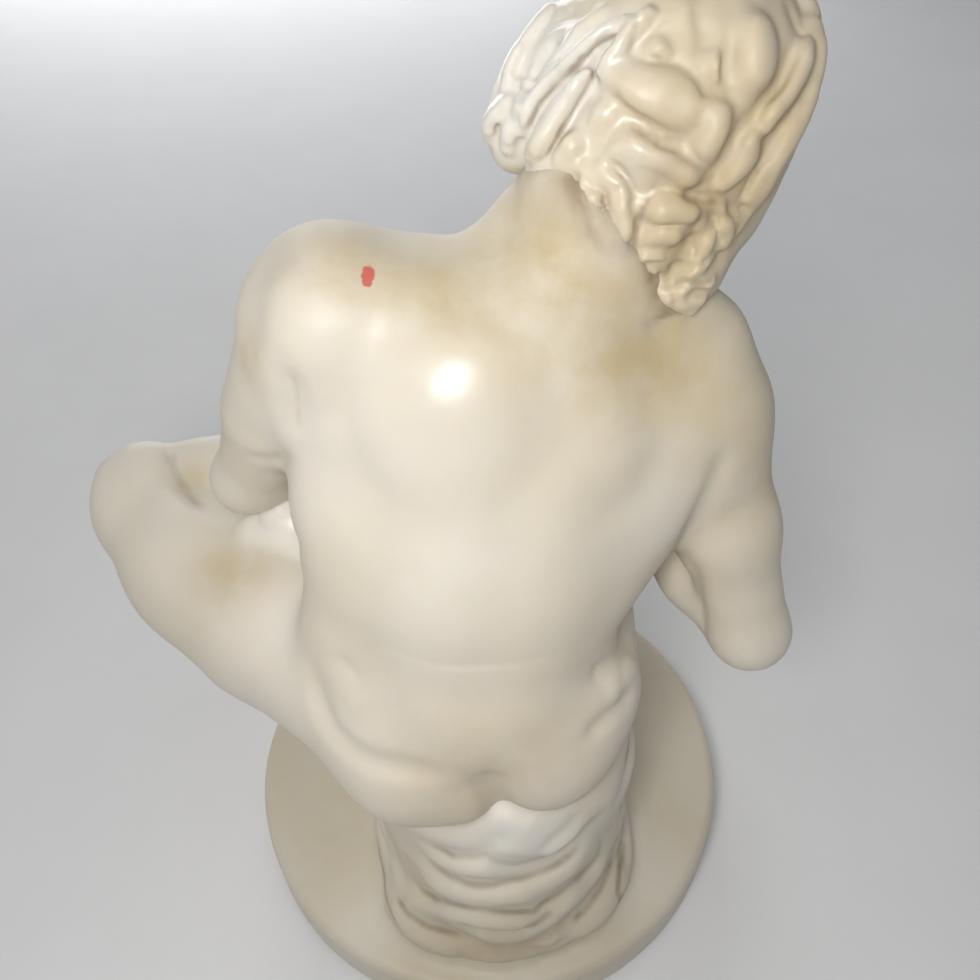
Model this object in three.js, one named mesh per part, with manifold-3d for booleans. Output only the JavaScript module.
// Seated figure, with a cloth in its lap, on a rounded rock and a round base: a small
// cast-resin ornament with a hidden air path (inlet elbow, airline, air stone, outlet).
// Units: millimetres. +Z is up. The origin is the centre of the round base on the table
// plane. The figure looks towards -Y and its left side is towards +X.
//
// The figure, the head and the rock are free-form castings. Each is a signed distance
// field of round cones and ellipsoids with soft blends, meshed on a regular grid.
// The other parts are turned, swept or extruded.

import * as THREE from 'three';
import { mergeVertices } from 'three/addons/utils/BufferGeometryUtils.js';
import Module from 'manifold-3d';

// ---------------------------------------------------------------- dimensions
// names ending in _R are radii, _Z0 and _Z1 are lower and upper heights
const CLEARANCE = 0.3;        // around screws, dowels and other inserted parts
const STACK_GAP = 0.1;        // between parts stacked under the base
const GLUE_GAP = 0.45;        // between castings

// base
const BASE_R = 40;
const BASE_BOTTOM = 1.5;
const BASE_TOP = 11;
const BASE_EDGE_R = 1.3;      // rounding of the top edge
const BASE_CHAMFER = 0.6;     // bottom edge
const HOLLOW_R = 28;          // hollow under the base
const HOLLOW_TOP = 9;
const LEDGE_Z = 3.9;          // top of the cover recess

// cover and gasket
const COVER_R = 31;
const COVER_Z0 = 1.6;
const COVER_Z1 = 2.9;
const LEDGE_R = COVER_R + CLEARANCE;
const GASKET_BORE_R = 28.3;
const GASKET_Z0 = COVER_Z1 + STACK_GAP;
const GASKET_Z1 = LEDGE_Z - STACK_GAP;

// feet and centre pad
const FOOT_R = 3.2;
const FOOT_H = 2.3;
const FOOT_CHAMFER = 0.4;
const FOOT_RING_R = 35.6;     // ring the feet sit on
const FOOT_PLACES = [0, 1, 2, 3].map((i) => {
  const angle = Math.PI / 4 + (i * Math.PI) / 2;
  return [FOOT_RING_R * Math.cos(angle), FOOT_RING_R * Math.sin(angle)];
});
const PAD_R = 10;
const PAD_CHAMFER = 0.3;

// screws and their bosses
const BOSS_R = 3;
const BOSS_Z0 = COVER_Z1 + 0.15;
const BOSS_OVERLAP = 0.5;     // into the roof of the hollow
const BOSS_PLACES = [[23, 8.4], [-23, 8.4], [-12.25, -21.2], [12.25, -21.2]];
const PILOT_R = 1.3;
const PILOT_TOP = 8.2;
const SCREW_R = 1;            // M2 shank
const SCREW_TIP_L = 0.6;
const SCREW_HEAD_R = 2;
const SCREW_HEAD_H = 1.1;
const COVER_SCREW_L = 6;
const ROCK_SCREW_L = 11;

// ballast arcs
const BALLAST_INNER_R = 12;
const BALLAST_OUTER_R = 21;
const BALLAST_Z0 = 3.4;
const BALLAST_H = 5;

// vertical air path through the rock
const AIR_X = -2;
const AIR_Y = 15.5;
const AIR_HOLE_R = 9;         // opening in the base top
const CAVITY_R = 11;          // air chamber in the rock
const CAVITY_TOP = 38;
const CAVITY_CHAMFER = 4;
const ROCK_BOTTOM = BASE_TOP + CLEARANCE;
const ROCK_SCREW_OFFSET = 15.3;
const ROCK_SCREW_PLACES = [1, -1].map((side) => [AIR_X + side * ROCK_SCREW_OFFSET, AIR_Y]);
const ROCK_SCREW_HOLE_TOP = 20.5;
const STONE_R = 6;            // air stone
const STONE_Z0 = 20;
const STONE_Z1 = 35;
const STONE_CHAMFER = 0.8;
const STONE_STEM_R = 1.5;
const STONE_STEM_Z0 = 14.2;

// outlet, rising towards the front
const OUTLET_DIRECTION = [0, -0.86, 0.5];
const OUTLET_START = [AIR_X, 6.5, 27];
const NOZZLE_BORE_R = 1.4;
const NOZZLE_R = 2.6;
const NOZZLE_SPAN = [4.2, 15.2];  // along the outlet direction
const OUTLET_HOLE_SPAN = [-2, 26];

// inlet elbow, its grommet and the airline
const LINE_Z = 6;             // height of the inlet axis and the airline
const LINE_R = 2.6;
const LINE_BORE_R = 1.9;
const STEM_R = 1.6;
const STEM_INNER_Y = -24;     // inner end of the stem, in the hollow
const ELBOW_Y = -44.8;        // centre of the elbow outside the rim
const STEM_L = STEM_INNER_Y - ELBOW_Y;
const ELBOW_BORE_R = 0.8;
const ELBOW_BALL_R = 2.7;
const COLLAR_R = 3;
const COLLAR_L = 1;
const COLLAR_OFFSET = 3.2;    // from the elbow centre back along the stem
const BARB_L = 16;
const BARB_ROOT = 5;          // plain length before the first ridge
const BARB_RIDGE_L = 3.2;
const BARB_PITCH = 3.4;
const GROMMET_BORE_R = 1.9;
const GROMMET_R = 3;
const GROMMET_BODY_L = 8.4;
const GROMMET_FLANGE_R = 4.2;
const GROMMET_L = 9.3;
const GROMMET_Y = -32;
const STEM_HOLE = { radius: 2, y: -25, length: 10 };
const GROMMET_HOLE = { radius: GROMMET_R + CLEARANCE, y: -31.8, length: 16 };

// dowels
const DOWEL_R = 1.5;
const DOWEL_CHAMFER = 0.4;
const SEAT_DOWEL_PLACES = [[8, 16], [-10, 16]];
const SEAT_DOWEL_Z0 = 42.5;
const SEAT_DOWEL_Z1 = 62;
const NECK_DOWEL_L = 18;
const NECK_DOWEL_START = [-10.6, -0.4, 110.6];
const NECK_DOWEL_DIRECTION = [-5.6, -5.2, 9];

// sampling grids of the free-form castings
const FIGURE_GRID = { lo: [-48, -54, 7], hi: [62, 40, 132], step: 3.35 };
const HEAD_GRID = { lo: [-46, -36, 98], hi: [2, 16, 146], step: 2.5 };
const ROCK_GRID = { lo: [-26, -9, 6], hi: [23, 40, 57], step: 3.5 };
const FAR_DISTANCE = 5;       // field value away from every shape
const SHAPE_REACH = 3;        // a shape is sampled this far beyond its blend width

// ---------------------------------------------------------------- materials
const RESIN = { color: 0xd9cfbb, roughness: 0.42, metalness: 0 };
const RUBBER = { color: 0x2b2b2b, roughness: 0.8, metalness: 0 };
const STEEL = { color: 0xb9babc, roughness: 0.35, metalness: 1 };
const PVC = { color: 0xc8c4b8, roughness: 0.45, metalness: 0 };
const VINYL = { color: 0xdfe6e2, roughness: 0.25, metalness: 0 };
const STONE = { color: 0x8f9aa6, roughness: 0.95, metalness: 0 };

// ---------------------------------------------------------------- vectors
const plus = (a, b) => a.map((value, i) => value + b[i]);
const minus = (a, b) => a.map((value, i) => value - b[i]);
const dot = (a, b) => a[0] * b[0] + a[1] * b[1] + a[2] * b[2];
const cross = (a, b) => [
  a[1] * b[2] - a[2] * b[1],
  a[2] * b[0] - a[0] * b[2],
  a[0] * b[1] - a[1] * b[0],
];
const between = (a, b, t) => a.map((value, i) => value + (b[i] - value) * t);

function unit(vector) {
  const length = Math.hypot(...vector);
  return vector.map((value) => value / length);
}

// rows are the local x, y and z axes: z along zDirection, y near yDirection
function axesFrom(zDirection, yDirection) {
  const z = unit(zDirection);
  const rise = dot(yDirection, z);
  const y = unit(yDirection.map((value, i) => value - z[i] * rise));
  return [cross(y, z), y, z];
}
const tilted = (up) => axesFrom(up, [0, 1, 0]);
const WORLD_AXES = [[1, 0, 0], [0, 1, 0], [0, 0, 1]];

// a function that takes local coordinates to world coordinates
const localFrame = (origin, axes) => (x, y, z) =>
  origin.map((value, i) => value + x * axes[0][i] + y * axes[1][i] + z * axes[2][i]);

// ---------------------------------------------------------------- field shapes
// each has bounds, a distance function and the width of its blend into earlier shapes
function cone(start, end, startR, endR, blend) {
  const axis = minus(end, start);
  const lengthSquared = dot(axis, axis) + 1e-9;
  const widest = Math.max(startR, endR);
  return {
    blend,
    lo: start.map((value, i) => Math.min(value, end[i]) - widest),
    hi: start.map((value, i) => Math.max(value, end[i]) + widest),
    distance(point) {
      const offset = minus(point, start);
      const t = Math.min(1, Math.max(0, dot(offset, axis) / lengthSquared));
      const radial = offset.map((value, i) => value - t * axis[i]);
      return Math.hypot(...radial) - (startR + t * (endR - startR));
    },
  };
}

function ellipsoid(centre, radii, blend, axes = WORLD_AXES) {
  const extent = [0, 1, 2].map((i) => Math.hypot(...axes.map((axis, row) => axis[i] * radii[row])));
  return {
    blend,
    lo: minus(centre, extent),
    hi: plus(centre, extent),
    distance(point) {
      const offset = minus(point, centre);
      const scaled = axes.map((axis, i) => dot(axis, offset) / radii[i]);
      const reach = Math.hypot(...scaled);
      const slope = Math.hypot(...scaled.map((value, i) => value / radii[i]));
      return (reach * (reach - 1)) / (slope + 1e-6);
    },
  };
}

// cones end to end through stations [x, y, z, radius], given in the frame of toWorld
function chain(stations, blend, toWorld = (x, y, z) => [x, y, z]) {
  const points = stations.map(([x, y, z]) => toWorld(x, y, z));
  return stations.slice(1).map((station, i) =>
    cone(points[i], points[i + 1], stations[i][3], station[3], blend));
}

// ---------------------------------------------------------------- figure
const LEFT = {
  hip: [10.5, 18, 57], knee: [49.5, -14.5, 61.5], ankle: [3, -24.5, 70.5],
  shoulder: [15, 1, 108.4], elbow: [29.8, -3.6, 79], wrist: [8.5, -20.5, 77.5],
};
const RIGHT = {
  hip: [-11, 18, 59], knee: [-14, -31, 62], ankle: [-12.6, -16.2, 18.5],
  shoulder: [-26.6, 3, 94.8], elbow: [-35.4, 12.6, 63.8], wrist: [-17.5, -16, 70.4],
};

function torsoShapes() {
  return [
    // pelvis, belly, chest
    ellipsoid([0.3, 18, 62], [15, 12.5, 12.5], 0),
    ellipsoid([0, 15.5, 74], [14.2, 10.2, 14], 7),
    ellipsoid([-2.5, 9.8, 87], [17.4, 11.3, 17], 8, tilted([-0.12, -0.38, 0.9])),
    ellipsoid([-5.5, 4.2, 98], [19.4, 10.8, 14], 7, tilted([-0.2, -0.42, 0.88])),
    // shoulder girdle
    cone([12, 0.8, 107.2], [-23, 2.8, 97], 8, 8, 7),
    cone([15, 0.2, 109], [-6, 1.2, 107], 7.2, 7.2, 5),
    ellipsoid(plus(LEFT.shoulder, [0.3, -0.2, -1]), [7.9, 8, 9], 4),
    ellipsoid(plus(RIGHT.shoulder, [-0.3, 0, -1]), [7.8, 8, 9.5], 4),
    // neck
    cone([-8.5, 3, 105], [-13, -2, 115], 7, 6, 7),
    cone([-12, -1.5, 113], [-17.8, -7.4, 121], 6.3, 6.2, 4),
    // shoulder blades
    ellipsoid([3.5, 10, 101], [7, 3.6, 9], 5, tilted([0.12, -0.45, 0.88])),
    ellipsoid([-17.5, 10.2, 92], [6.6, 3.6, 8.5], 5, tilted([-0.12, -0.45, 0.88])),
    // flanks
    cone([15, 5.5, 97], [12.5, 13, 79], 6, 4.5, 6),
    cone([-23.5, 6, 88], [-12.6, 13.5, 73], 5.5, 4.5, 6),
    cone([13.6, 8.5, 86], [14.8, 13.5, 70], 6.6, 6.4, 6),
    cone([14.8, 13.5, 70], [14.2, 17.5, 61], 6.4, 6.4, 5),
    // front of the chest and belly
    ellipsoid([3, -5, 96], [9, 5, 7], 6),
    ellipsoid([-14, -4, 91], [9, 5, 7], 6),
    ellipsoid([-1, 5, 75], [11, 7, 9], 6),
    // buttocks
    ellipsoid([9, 22, 54.4], [10.2, 10.8, 9.8], 4),
    ellipsoid([-7.6, 21.2, 55.6], [9.6, 10.6, 9.2], 4),
  ];
}

// left leg, its calf laid across the right thigh
function leftLegShapes() {
  const { hip, knee, ankle } = LEFT;
  const midThigh = [29.4, 2.4, 57.2];
  const upperCalf = [35, -19.6, 63.6];
  const lowerCalf = [19, -22.6, 66.8];
  const thighAxes = axesFrom([0, 0, 1], [0.64, 0.77, 0]);
  return [
    cone(plus(hip, [2, -1, 0.4]), midThigh, 11, 11.8, 5),
    cone(midThigh, plus(knee, [-0.4, 0.6, -1]), 11.8, 8.4, 3),
    ellipsoid([27, 1, 62.5], [12, 8.5, 8.5], 4, thighAxes),
    ellipsoid([40.8, -5, 57.8], [10.5, 9.4, 8.4], 7, thighAxes),
    ellipsoid(plus(knee, [2, -2, 0.2]), [6.8, 6.6, 6.8], 4),
    cone(plus(knee, [-0.5, -3, 0.8]), upperCalf, 6.4, 6.1, 3),
    cone(upperCalf, lowerCalf, 6.1, 4.6, 3),
    cone(lowerCalf, ankle, 4.6, 3.4, 3),
  ];
}

// right leg, down to the base
function rightLegShapes() {
  const { hip, knee, ankle } = RIGHT;
  const midThigh = between(hip, knee, 0.5);
  return [
    cone(plus(hip, [0, -2, -0.5]), midThigh, 10, 9.3, 5),
    cone(midThigh, knee, 9.3, 6.9, 3),
    ellipsoid(plus(knee, [0, -2.6, 1.2]), [6, 5.2, 6], 4),
    cone(plus(knee, [0, 0.5, -1.5]), [-13.6, -24.6, 47.4], 6.2, 6.2, 3),
    cone([-13.6, -25, 47.4], ankle, 6, 3.4, 3),
  ];
}

function leftArmShapes() {
  const { shoulder, elbow, wrist } = LEFT;
  const forearm = between(elbow, wrist, 0.3);
  return [
    cone(plus(shoulder, [1, 0, -1]), between(shoulder, elbow, 0.5), 7.2, 6.5, 5),
    cone(plus(between(shoulder, elbow, 0.35), [0.2, 0, 0]), elbow, 6.5, 5.4, 3),
    cone(elbow, forearm, 5.2, 5.1, 2.5),
    cone(forearm, wrist, 5, 3, 2.5),
  ];
}

function rightArmShapes() {
  const { shoulder, elbow, wrist } = RIGHT;
  const upperArm = between(shoulder, elbow, 0.5);
  const forearm = between(elbow, wrist, 0.3);
  return [
    cone(plus(shoulder, [0, 0, -1]), upperArm, 7.2, 6.2, 3),
    cone(upperArm, elbow, 6.1, 4.8, 3),
    cone(elbow, forearm, 4.8, 5.1, 2.5),
    cone(forearm, wrist, 5, 2.9, 2.5),
  ];
}

// toes, big toe first: stations [x, y, z, radius] from root to tip
const TOE_BLEND = 0.8;
// in the left foot's frame: y towards the toes, z out of the top of the foot
const LEFT_TOES = [
  [[-3.6, 17, -4.2, 1.8], [-3.6, 23, -4.6, 1.6]],
  [[-1.1, 17.5, -4.2, 1.3], [-0.9, 22.6, -4.8, 1.15]],
  [[0.9, 17, -4.2, 1.25], [1.2, 21.6, -4.9, 1.1]],
  [[2.8, 16.2, -4.3, 1.2], [3.2, 20.2, -5, 1.05]],
  [[4.4, 15, -4.4, 1.15], [5, 18.4, -5.1, 1]],
];
const RIGHT_TOES = [
  [[-10.4, -32.5, 13.7, 1.9], [-10.2, -38, 13.3, 1.7]],
  [[-12.9, -33.2, 13.6, 1.35], [-13, -37.9, 13.1, 1.2]],
  [[-14.9, -32.8, 13.6, 1.3], [-15.3, -37, 13, 1.15]],
  [[-16.7, -32, 13.5, 1.25], [-17.3, -35.7, 12.9, 1.1]],
  [[-18.3, -30.8, 13.4, 1.2], [-19.1, -33.9, 12.8, 1.05]],
];

// each foot: heel, instep, ball, sole edge, toes
function leftFootShapes() {
  const axes = axesFrom([0.74, -0.56, -0.4], unit([-0.64, -0.76, -0.1]));
  const foot = localFrame(LEFT.ankle, axes);
  return [
    ellipsoid(foot(0, -3.6, -3.4), [3.4, 4.2, 3.6], 2, axes),
    cone(foot(0, 1, -0.6), foot(-0.6, 13, -3.4), 3.6, 2.7, 2),
    ellipsoid(foot(0, 14, -4.2), [5.2, 5, 2.3], 2, axes),
    cone(foot(0, -1, -4.4), foot(1.6, 13, -4.6), 2.6, 2.2, 2),
    ...LEFT_TOES.flatMap((toe) => chain(toe, TOE_BLEND, foot)),
  ];
}

// flat on the base
function rightFootShapes() {
  return [
    ellipsoid([-13, -13.2, 15], [3.8, 4.6, 3.8], 2),
    cone([-13, -17.5, 17.2], [-13.6, -29, 14], 3.7, 2.5, 2),
    ellipsoid([-13.8, -30, 13.6], [5.4, 5.2, 2.3], 2),
    cone([-15.2, -14, 13.8], [-16, -29, 13.4], 2.6, 2, 2),
    ...RIGHT_TOES.flatMap((toe) => chain(toe, TOE_BLEND)),
  ];
}

// fingers, thumb last: stations [x, y, z, radius] from root to tip
const FINGER_BLEND = 0.7;
const LEFT_FINGERS = [
  [[-1.6, -31.4, 75.2, 1.5], [-4.6, -35.4, 73.2, 1.35], [-5, -37.6, 70, 1.15]],
  [[-3.8, -30, 75.4, 1.5], [-7.4, -33.4, 73.8, 1.35], [-8.6, -35.8, 71.2, 1.15]],
  [[0.8, -32.4, 74.8, 1.45], [-0.8, -36.8, 72.2, 1.3], [-0.6, -38.4, 68.8, 1.1]],
  [[3, -32.4, 74, 1.3], [3, -36.4, 71.2, 1.15], [3.6, -37.4, 68.2, 1]],
  [[-1.6, -24.2, 76.2, 1.6], [-6.4, -26, 75.6, 1.3]],
];
const RIGHT_FINGERS = [
  [[-13.2, -26.4, 76, 1.5], [-10.8, -29.6, 76.4, 1.3], [-8.2, -29.8, 75.2, 1.05]],
  [[-15.2, -26.6, 75, 1.5], [-13.6, -30.4, 75, 1.3], [-10.8, -31.4, 74, 1.05]],
  [[-17, -26, 73.6, 1.4], [-16.2, -30, 73, 1.25], [-13.8, -31.6, 71.8, 1]],
  [[-11.6, -21.6, 76.4, 1.6], [-8.6, -25.2, 77, 1.35], [-7.2, -27.6, 76, 1.1]],
];

// left hand over the left ankle, right hand at the left sole
function handShapes() {
  const leftPalmAxes = axesFrom([-0.1, -0.35, 0.93], [-0.6, -0.8, 0]);
  const rightPalmAxes = axesFrom([-0.62, -0.2, 0.75], [0.4, -0.8, 0.2]);
  return [
    cone(LEFT.wrist, [3.5, -24.5, 77], 3, 3.4, 2),
    ellipsoid([0.6, -27.4, 76], [5.6, 4.6, 2.8], 2, leftPalmAxes),
    ...LEFT_FINGERS.flatMap((finger) => chain(finger, FINGER_BLEND)),
    cone(RIGHT.wrist, [-15, -20, 73.6], 2.9, 3.2, 2),
    ellipsoid([-13.6, -22.6, 75], [4.4, 5.2, 2.7], 2, rightPalmAxes),
    ...RIGHT_FINGERS.flatMap((finger) => chain(finger, FINGER_BLEND)),
  ];
}

// folds of the hanging panel: stations [x, y, z, radius], top then bottom
const CLOTH_FOLDS = [
  [[-5.6, -12.6, 58, 1.9], [-6.6, -13, 42.6, 2.1]],
  [[-1.8, -13.6, 59, 1.8], [-2.4, -14, 41.6, 2.1]],
  [[2.4, -13.8, 59, 1.8], [2.6, -14.2, 41.2, 2.2]],
  [[6.4, -12.8, 58, 1.9], [7.4, -13.2, 42.4, 2.1]],
];

// cloth lying in the lap, with one broad panel hanging between the thighs
function clothShapes() {
  return [
    ellipsoid([1.5, -0.5, 65.5], [14.5, 9, 4.6], 3),
    ellipsoid([1, -9, 62], [9.5, 5.6, 4.6], 3, tilted([0, -0.5, 0.86])),
    ellipsoid([1.2, -12.6, 54], [8.4, 2.4, 9.5], 2, tilted([0, 0.12, 1])),
    ellipsoid([1.2, -12.2, 47.2], [8.8, 2.3, 7], 2),
    ...CLOTH_FOLDS.flatMap((fold) => chain(fold, 1.2)),
    // roll towards the left side, with a round end
    cone([14, -1, 67.5], [21.5, 0.8, 69], 3.4, 2.6, 2),
    ellipsoid([22.6, 0.6, 70.2], [3.2, 3, 3], 1),
  ];
}

// ---------------------------------------------------------------- head and rock
// in the head's frame: x towards its left, y towards its back, z up
function headShapes() {
  const axes = axesFrom([-0.46, -0.26, 0.85], [-0.16, 0.8, 0.58]);
  const head = localFrame([-20.7, -9.9, 124.1], axes);
  return [
    // skull, face wedge, chin, nose
    ellipsoid(head(0, 1.5, 3), [13.4, 14.4, 13], 0, axes),
    ellipsoid(head(0, -4.2, -4), [8.6, 8.6, 10.4], 3, axes),
    ellipsoid(head(0, -9.2, -11.4), [3.2, 2.8, 2.8], 2.5, axes),
    cone(head(0, -11.6, 0.6), head(0, -14, -4.8), 1.2, 1.6, 1.6),
    // hair at the back, left and right
    ellipsoid(head(0, 7, -7), [11.4, 7, 8.6], 4, axes),
    ellipsoid(head(11.4, -1, -3.6), [5, 6.6, 8.6], 2.5, axes),
    ellipsoid(head(-10.4, 1.6, -4.6), [4.2, 6.6, 9], 2.5, axes),
  ];
}

// six rounded ledges and a rounded cap, from the bottom up: centre, radii, blend
const ROCK_LEDGES = [
  [[-2, 15.5, 14.2], [20.6, 20.6, 5.2], 0],
  [[-1.4, 14.6, 20.6], [19.8, 20.4, 4.6], 1.6],
  [[-2.6, 15.6, 27], [18.8, 19.8, 4.6], 1.6],
  [[-1.8, 14.2, 33.4], [18.8, 19.8, 4.4], 1.6],
  [[-2.8, 14.6, 39.6], [18, 19.6, 4.4], 1.6],
  [[-1.6, 13.6, 45.6], [18.6, 18.8, 4.6], 1.6],
  [[-3, 13, 49.5], [17, 16.5, 4.6], 2],
];

// ---------------------------------------------------------------- field sampling
function smoothMin(a, b, blend) {
  if (blend <= 1e-6) return Math.min(a, b);
  const overlap = Math.max(blend - Math.abs(a - b), 0) / blend;
  return Math.min(a, b) - overlap * overlap * blend * 0.25;
}

// visits every grid index between two corners, both included
function eachIndex(first, last, visit) {
  for (let i = first[0]; i <= last[0]; i++) {
    for (let j = first[1]; j <= last[1]; j++) {
      for (let k = first[2]; k <= last[2]; k++) visit([i, j, k]);
    }
  }
}

function sampleField({ lo, hi, step }, shapes) {
  const count = lo.map((low, i) => Math.ceil((hi[i] - low) / step) + 1);
  const values = new Float64Array(count[0] * count[1] * count[2]).fill(FAR_DISTANCE);
  const indexOf = ([i, j, k]) => (i * count[1] + j) * count[2] + k;
  for (const shape of shapes) {
    const reach = shape.blend + SHAPE_REACH;
    const first = lo.map((low, i) => Math.max(0, Math.floor((shape.lo[i] - reach - low) / step)));
    const last = lo.map((low, i) =>
      Math.min(count[i] - 1, Math.ceil((shape.hi[i] + reach - low) / step)));
    eachIndex(first, last, (node) => {
      const at = indexOf(node);
      const point = lo.map((low, i) => low + node[i] * step);
      values[at] = smoothMin(values[at], shape.distance(point), shape.blend);
    });
  }
  return { lo, step, count, values, indexOf };
}

// ---------------------------------------------------------------- field meshing
// A cell edge is numbered axis * 4 + u * 2 + v: it runs along axis, offset by u on the
// next axis and by v on the one after (x, y, z in turn).

// where the surface crosses each of a cell's 12 edges, in cell units, or null
function edgeCrossings(cell, height) {
  const crossings = new Array(12).fill(null);
  for (let edge = 0; edge < 12; edge++) {
    const axis = edge >> 2;
    const start = [0, 0, 0];
    start[(axis + 1) % 3] = (edge >> 1) & 1;
    start[(axis + 2) % 3] = edge & 1;
    const end = [...start];
    end[axis] = 1;
    const startHeight = height(plus(cell, start));
    const endHeight = height(plus(cell, end));
    if ((startHeight < 0) === (endHeight < 0)) continue;
    start[axis] = startHeight / (startHeight - endHeight);
    crossings[edge] = start;
  }
  return crossings;
}

// groups the crossed edges of a cell by the sheet they lie on, joining face by face
function cellSheets(cell, crossings, height) {
  const parent = crossings.map((_, edge) => edge);
  const root = (edge) => {
    while (parent[edge] !== edge) edge = parent[edge];
    return edge;
  };
  const join = (a, b) => { parent[root(a)] = root(b); };
  for (let axis = 0; axis < 3; axis++) {
    const next = (axis + 1) % 3;
    const after = (axis + 2) % 3;
    for (let side = 0; side < 2; side++) {
      const nextEdges = [next * 4 + side, next * 4 + 2 + side];
      const afterEdges = [after * 4 + side * 2, after * 4 + side * 2 + 1];
      const hits = [...nextEdges, ...afterEdges].filter((edge) => crossings[edge]);
      if (hits.length === 2) join(hits[0], hits[1]);
      if (hits.length !== 4) continue;
      // ambiguous face: join the two crossings around each inside corner
      for (let a = 0; a < 2; a++) {
        for (let b = 0; b < 2; b++) {
          const corner = [...cell];
          corner[axis] += side;
          corner[next] += a;
          corner[after] += b;
          if (height(corner) < 0) join(nextEdges[b], afterEdges[a]);
        }
      }
    }
  }
  const sheets = new Map();
  crossings.forEach((crossing, edge) => {
    if (!crossing) return;
    const key = root(edge);
    if (!sheets.has(key)) sheets.set(key, []);
    sheets.get(key).push(edge);
  });
  return [...sheets.values()];
}

// Surface nets: one vertex for each sheet of the surface in a cell, so the mesh stays a
// clean two-sided skin where two sheets pass through the same cell.
function meshField({ lo, step, count, values, indexOf }, level) {
  const height = (node) => values[indexOf(node)] - level;
  const edgeKey = (cell, edge) => indexOf(cell) * 12 + edge;
  const lastCell = count.map((nodes) => nodes - 2);
  const vertices = [];
  const vertexOnEdge = new Map();
  eachIndex([0, 0, 0], lastCell, (cell) => {
    const crossings = edgeCrossings(cell, height);
    if (!crossings.some(Boolean)) return;
    for (const edges of cellSheets(cell, crossings, height)) {
      for (const edge of edges) vertexOnEdge.set(edgeKey(cell, edge), vertices.length);
      const mean = [0, 1, 2].map((i) =>
        edges.reduce((sum, edge) => sum + crossings[edge][i], 0) / edges.length);
      vertices.push(lo.map((low, i) => low + (cell[i] + mean[i]) * step));
    }
  });

  // one quad round each crossed grid edge, split along its shorter diagonal
  const span = (a, b) => Math.hypot(...minus(vertices[a], vertices[b]));
  const triangles = [];
  eachIndex([0, 0, 0], lastCell, (node) => {
    for (let axis = 0; axis < 3; axis++) {
      const next = (axis + 1) % 3;
      const after = (axis + 2) % 3;
      if (node[next] < 1 || node[after] < 1) continue;
      const end = [...node];
      end[axis]++;
      const startsInside = height(node) < 0;
      if (startsInside === height(end) < 0) continue;
      const quad = [[1, 1], [0, 1], [0, 0], [1, 0]].map(([u, v]) => {
        const cell = [...node];
        cell[next] -= u;
        cell[after] -= v;
        return vertexOnEdge.get(edgeKey(cell, axis * 4 + u * 2 + v));
      });
      if (!startsInside) quad.reverse();
      const [a, b, c, d] = quad;
      if (span(a, c) <= span(b, d)) triangles.push(a, b, c, a, c, d);
      else triangles.push(a, b, d, b, c, d);
    }
  });
  return indexedGeometry(vertices.flat(), triangles);
}

// ---------------------------------------------------------------- solids
const wasm = await Module();
wasm.setup();

function indexedGeometry(positions, triangles) {
  const geometry = new THREE.BufferGeometry();
  geometry.setAttribute('position', new THREE.BufferAttribute(new Float32Array(positions), 3));
  geometry.setIndex(triangles);
  return geometry;
}

// strips the geometry to its positions, so that seams close, and makes a solid of it
function solid(geometry) {
  geometry.deleteAttribute('normal');
  geometry.deleteAttribute('uv');
  const merged = mergeVertices(geometry, 1e-4);
  return new wasm.Manifold(new wasm.Mesh({
    numProp: 3,
    vertProperties: new Float32Array(merged.attributes.position.array),
    triVerts: new Uint32Array(merged.index.array),
  }));
}

function toGeometry(body) {
  const mesh = body.getMesh();
  return indexedGeometry(mesh.vertProperties, Array.from(mesh.triVerts));
}

// the largest closed body of a solid
const mainBody = (body) => body.decompose().sort((a, b) => b.volume() - a.volume())[0];
const fuse = (body, ...extras) => extras.reduce((sum, extra) => sum.add(extra), body);
const cut = (body, ...tools) => tools.reduce((rest, tool) => rest.subtract(tool), body);

// turned about +Z: profile points are [radius, z]
function turned(profile, segments) {
  const points = profile.map(([r, z]) => new THREE.Vector2(r, z));
  return new THREE.LatheGeometry(points, segments).rotateX(Math.PI / 2);
}
const rod = (r, z0, z1, segments = 20) =>
  turned([[0, z0], [r, z0], [r, z1], [0, z1]], segments);
const tube = (boreR, r, z0, z1, segments) =>
  turned([[boreR, z0], [r, z0], [r, z1], [boreR, z1], [boreR, z0]], segments);

// upright solid rods at a list of [x, y] places
const rodsAt = (places, ...rodSizes) =>
  places.map(([x, y]) => solid(rod(...rodSizes).translate(x, y, 0)));

// moves a geometry built along +Z so that it starts at a point and runs along a direction
function along(geometry, start, direction) {
  const up = new THREE.Vector3(0, 0, 1);
  const target = new THREE.Vector3(...direction).normalize();
  const turn = new THREE.Quaternion().setFromUnitVectors(up, target);
  return geometry.applyQuaternion(turn).translate(...start);
}
// on the inlet axis, running from y outwards to the front
const onInletAxis = (geometry, y) => along(geometry, [0, y, LINE_Z], [0, -1, 0]);
const onBarbAxis = (geometry) => along(geometry, [0, ELBOW_Y, LINE_Z], [1, 0, 0]);
const onNeckAxis = (geometry) => along(geometry, NECK_DOWEL_START, NECK_DOWEL_DIRECTION);
const onOutletAxis = (geometry) => along(geometry, OUTLET_START, OUTLET_DIRECTION);

// ---------------------------------------------------------------- castings
const figureField = sampleField(FIGURE_GRID, [
  ...torsoShapes(), ...leftLegShapes(), ...rightLegShapes(),
  ...leftArmShapes(), ...rightArmShapes(), ...leftFootShapes(), ...rightFootShapes(),
  ...handShapes(), ...clothShapes(),
]);
const headField = sampleField(HEAD_GRID, headShapes());
const rockField = sampleField(ROCK_GRID, ROCK_LEDGES.map((ledge) => ellipsoid(...ledge)));

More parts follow.
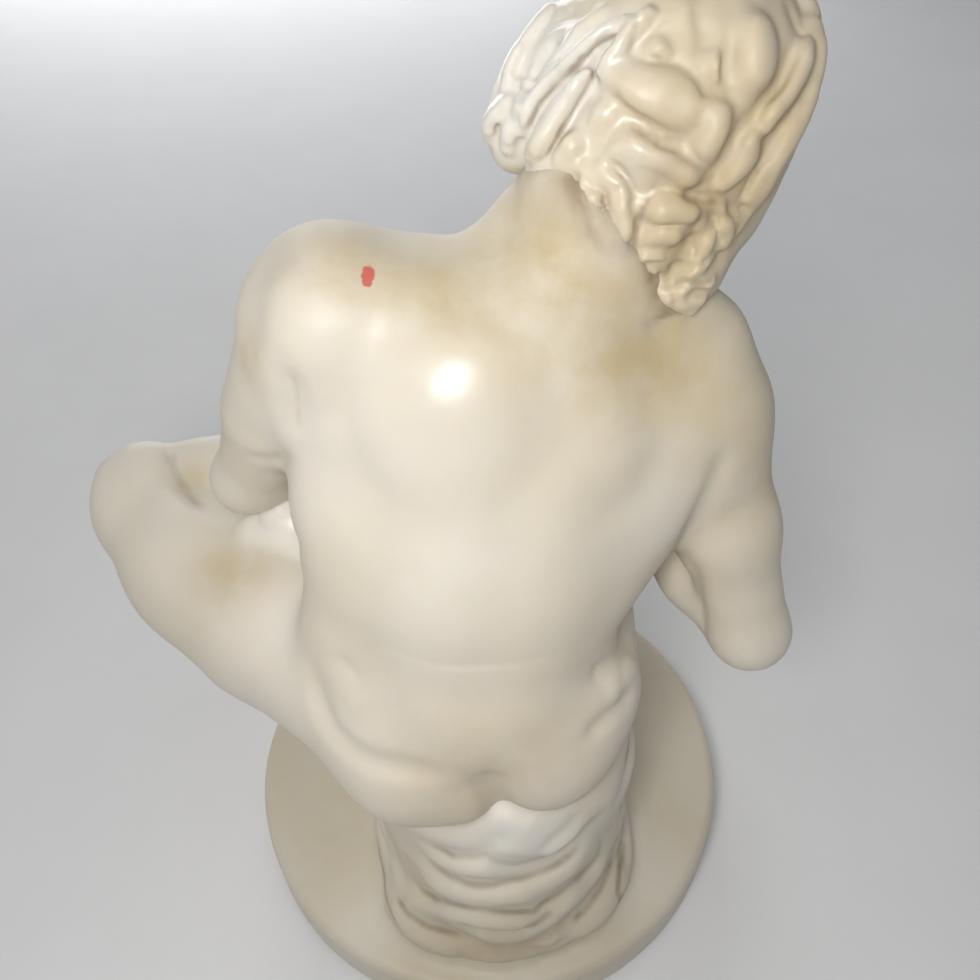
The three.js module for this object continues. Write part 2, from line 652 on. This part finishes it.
// everything up to just above the base top, cut from the castings that stand on it
const baseSlab = solid(rod(70, -20, ROCK_BOTTOM, 24));
const neckDowelHole = solid(onNeckAxis(
  rod(DOWEL_R + CLEARANCE, -CLEARANCE, NECK_DOWEL_L + CLEARANCE)));
const seatDowelHoles = rodsAt(SEAT_DOWEL_PLACES, DOWEL_R + CLEARANCE,
  SEAT_DOWEL_Z0 - CLEARANCE, SEAT_DOWEL_Z1 + CLEARANCE);

function figureCasting() {
  const headWithGap = mainBody(solid(meshField(headField, GLUE_GAP)));
  const body = mainBody(solid(meshField(figureField, 0)));
  return toGeometry(mainBody(cut(body, baseSlab, headWithGap, neckDowelHole, ...seatDowelHoles)));
}

function headCasting() {
  const head = mainBody(solid(meshField(headField, 0)));
  return toGeometry(mainBody(cut(head, neckDowelHole)));
}

function rockSeat() {
  const figureWithGap = solid(meshField(figureField, GLUE_GAP));
  const cavity = solid(turned([
    [0, 0], [CAVITY_R, 0], [CAVITY_R, CAVITY_TOP - CAVITY_CHAMFER],
    [CAVITY_R - CAVITY_CHAMFER, CAVITY_TOP], [0, CAVITY_TOP],
  ], 24).translate(AIR_X, AIR_Y, 0));
  const outletHole = solid(onOutletAxis(rod(NOZZLE_R + CLEARANCE, ...OUTLET_HOLE_SPAN)));
  const screwHoles = rodsAt(ROCK_SCREW_PLACES, SCREW_R + CLEARANCE, 5, ROCK_SCREW_HOLE_TOP);
  return toGeometry(mainBody(cut(solid(meshField(rockField, 0)),
    baseSlab, figureWithGap, cavity, outletHole, ...seatDowelHoles, ...screwHoles)));
}

// ---------------------------------------------------------------- base parts
function baseDisc() {
  const roundedEdge = [0, 1, 2, 3].map((i) => {
    const angle = ((i / 3) * Math.PI) / 2;
    return [
      BASE_R - BASE_EDGE_R + BASE_EDGE_R * Math.cos(angle),
      BASE_TOP - BASE_EDGE_R + BASE_EDGE_R * Math.sin(angle),
    ];
  });
  const disc = solid(turned([
    [0, HOLLOW_TOP], [HOLLOW_R, HOLLOW_TOP], [HOLLOW_R, LEDGE_Z],
    [LEDGE_R, LEDGE_Z], [LEDGE_R, BASE_BOTTOM],
    [BASE_R - BASE_CHAMFER, BASE_BOTTOM], [BASE_R, BASE_BOTTOM + BASE_CHAMFER],
    ...roundedEdge, [0, BASE_TOP],
  ], 60));
  const bosses = rodsAt(BOSS_PLACES, BOSS_R, BOSS_Z0, HOLLOW_TOP + BOSS_OVERLAP, 12);
  const inletHoles = [STEM_HOLE, GROMMET_HOLE].map(({ radius, y, length }) =>
    solid(onInletAxis(rod(radius, 0, length, 16), y)));
  return toGeometry(mainBody(cut(fuse(disc, ...bosses),
    ...rodsAt(BOSS_PLACES, PILOT_R, 0, PILOT_TOP, 10),
    ...rodsAt([[AIR_X, AIR_Y]], AIR_HOLE_R, 5, 20, 24),
    ...rodsAt(ROCK_SCREW_PLACES, SCREW_R + CLEARANCE, 5, 20, 16),
    ...rodsAt(FOOT_PLACES, FOOT_R + CLEARANCE, 0, FOOT_H + CLEARANCE, 16),
    ...inletHoles)));
}

function baseCover() {
  const plate = solid(rod(COVER_R, COVER_Z0, COVER_Z1, 48));
  return toGeometry(cut(plate, ...rodsAt(BOSS_PLACES, SCREW_R + CLEARANCE, 0, 5, 10)));
}

// pan head below z, shank above it
function screw(z, shankL) {
  return turned([
    [0, z - SCREW_HEAD_H], [SCREW_HEAD_R * 0.7, z - SCREW_HEAD_H],
    [SCREW_HEAD_R, z - SCREW_HEAD_H * 0.5], [SCREW_HEAD_R, z],
    [SCREW_R, z], [SCREW_R, z + shankL - SCREW_TIP_L],
    [SCREW_R * 0.5, z + shankL], [0, z + shankL],
  ], 10);
}

// standing on the table, with a chamfered bottom edge
function rubberDisc(r, chamfer, top, segments) {
  return turned([[0, 0], [r - chamfer, 0], [r, chamfer], [r, top], [0, top]], segments);
}

function ballastArc(startAngle, endAngle) {
  const outline = new THREE.Shape();
  outline.absarc(0, 0, BALLAST_OUTER_R, startAngle, endAngle, false);
  outline.absarc(0, 0, BALLAST_INNER_R, endAngle, startAngle, true);
  outline.closePath();
  const options = { depth: BALLAST_H, bevelEnabled: false, curveSegments: 9 };
  return new THREE.ExtrudeGeometry(outline, options).translate(0, 0, BALLAST_Z0);
}

function dowel(z0, z1) {
  const endR = DOWEL_R - DOWEL_CHAMFER;
  return turned([
    [0, z0], [endR, z0], [DOWEL_R, z0 + DOWEL_CHAMFER],
    [DOWEL_R, z1 - DOWEL_CHAMFER], [endR, z1], [0, z1],
  ], 10);
}

// ---------------------------------------------------------------- air path
// stem through the rim, barb towards +X; both legs are bored through
function inletElbow() {
  const ridges = [0, 1, 2].flatMap((i) => [
    [2.5, BARB_ROOT + i * BARB_PITCH],
    [1.8, BARB_ROOT + BARB_RIDGE_L + i * BARB_PITCH],
  ]);
  const barb = turned([[0, 0], [1.7, 0], [1.7, BARB_ROOT], ...ridges, [1.5, BARB_L], [0, BARB_L]], 14);
  const ball = new THREE.SphereGeometry(ELBOW_BALL_R, 16, 10).translate(0, ELBOW_Y, LINE_Z);
  const body = fuse(
    solid(onInletAxis(rod(STEM_R, 0, STEM_L, 14), STEM_INNER_Y)),
    solid(onInletAxis(rod(COLLAR_R, 0, COLLAR_L, 16), ELBOW_Y + COLLAR_OFFSET)),
    solid(ball),
    solid(onBarbAxis(barb)));
  return toGeometry(mainBody(cut(body,
    solid(onInletAxis(rod(ELBOW_BORE_R, -2, STEM_L, 12), STEM_INNER_Y)),
    solid(onBarbAxis(rod(ELBOW_BORE_R, -0.2, BARB_L + 2, 12))))));
}

function inletGrommet() {
  return onInletAxis(turned([
    [GROMMET_BORE_R, 0], [GROMMET_R, 0], [GROMMET_R, GROMMET_BODY_L],
    [GROMMET_FLANGE_R, GROMMET_BODY_L], [GROMMET_FLANGE_R, GROMMET_L],
    [GROMMET_BORE_R, GROMMET_L], [GROMMET_BORE_R, 0],
  ], 16), GROMMET_Y);
}

// centre line from the elbow stem, along the hollow, up into the rock: [x, y, z]
const AIRLINE_ROUTE = [
  [0, -27.6, LINE_Z], [0, -20, LINE_Z], [-0.4, -6, LINE_Z], [-1.2, 6, LINE_Z + 0.1],
  [-1.9, 13, LINE_Z + 2.2], [AIR_X, AIR_Y, LINE_Z + 7], [AIR_X, AIR_Y, 15.2],
  [AIR_X, AIR_Y, 18.8],
];

function innerAirline() {
  const section = new THREE.Shape();
  section.absarc(0, 0, LINE_R, 0, Math.PI * 2, false);
  const bore = new THREE.Path();
  bore.absarc(0, 0, LINE_BORE_R, 0, Math.PI * 2, true);
  section.holes.push(bore);
  const points = AIRLINE_ROUTE.map((point) => new THREE.Vector3(...point));
  const extrudePath = new THREE.CatmullRomCurve3(points, false, 'centripetal');
  return new THREE.ExtrudeGeometry(section,
    { steps: 18, extrudePath, curveSegments: 5, bevelEnabled: false });
}

function airStone() {
  const endR = STONE_R - STONE_CHAMFER;
  return turned([
    [0, STONE_STEM_Z0], [STONE_STEM_R, STONE_STEM_Z0], [STONE_STEM_R, STONE_Z0],
    [endR, STONE_Z0], [STONE_R, STONE_Z0 + STONE_CHAMFER],
    [STONE_R, STONE_Z1 - STONE_CHAMFER], [endR, STONE_Z1], [0, STONE_Z1],
  ], 20).translate(AIR_X, AIR_Y, 0);
}

// ---------------------------------------------------------------- assembly
const part = new THREE.Group();
part.name = 'bubbling_ornament';

function add(name, geometry, look) {
  geometry.computeVertexNormals();
  const mesh = new THREE.Mesh(geometry, new THREE.MeshStandardMaterial(look));
  mesh.name = name;
  part.add(mesh);
}

// numbered copies, one at each [x, y] place
function addCopies(name, places, build, look) {
  places.forEach(([x, y], i) => add(`${name}_${i + 1}`, build().translate(x, y, 0), look));
}

add('figure_casting', figureCasting(), RESIN);
add('head_casting', headCasting(), RESIN);
add('rock_seat', rockSeat(), RESIN);
add('base_disc', baseDisc(), RESIN);
add('base_cover', baseCover(), PVC);
add('cover_gasket', tube(GASKET_BORE_R, COVER_R, GASKET_Z0, GASKET_Z1, 48), RUBBER);
addCopies('cover_screw', BOSS_PLACES, () => screw(COVER_Z0 - STACK_GAP, COVER_SCREW_L), STEEL);
addCopies('rock_screw', ROCK_SCREW_PLACES,
  () => screw(HOLLOW_TOP - STACK_GAP, ROCK_SCREW_L), STEEL);
addCopies('rubber_foot', FOOT_PLACES, () => rubberDisc(FOOT_R, FOOT_CHAMFER, FOOT_H, 16), RUBBER);
// the ornament stands on this pad and on the four feet
add('centre_pad', rubberDisc(PAD_R, PAD_CHAMFER, COVER_Z0 - STACK_GAP, 32), RUBBER);
add('ballast_left', ballastArc(-Math.PI / 3, Math.PI / 6), STEEL);
add('ballast_right', ballastArc(Math.PI - Math.PI / 6, Math.PI + Math.PI / 3), STEEL);
['left', 'right'].forEach((side, i) => {
  const [x, y] = SEAT_DOWEL_PLACES[i];
  add(`seat_dowel_${side}`, dowel(SEAT_DOWEL_Z0, SEAT_DOWEL_Z1).translate(x, y, 0), STEEL);
});
add('neck_dowel', onNeckAxis(dowel(0, NECK_DOWEL_L)), STEEL);
add('inlet_elbow', inletElbow(), PVC);
add('inlet_grommet', inletGrommet(), RUBBER);
add('inner_airline', innerAirline(), VINYL);
add('air_stone', airStone(), STONE);
add('outlet_nozzle', onOutletAxis(tube(NOZZLE_BORE_R, NOZZLE_R, ...NOZZLE_SPAN, 20)), PVC);

export default part;
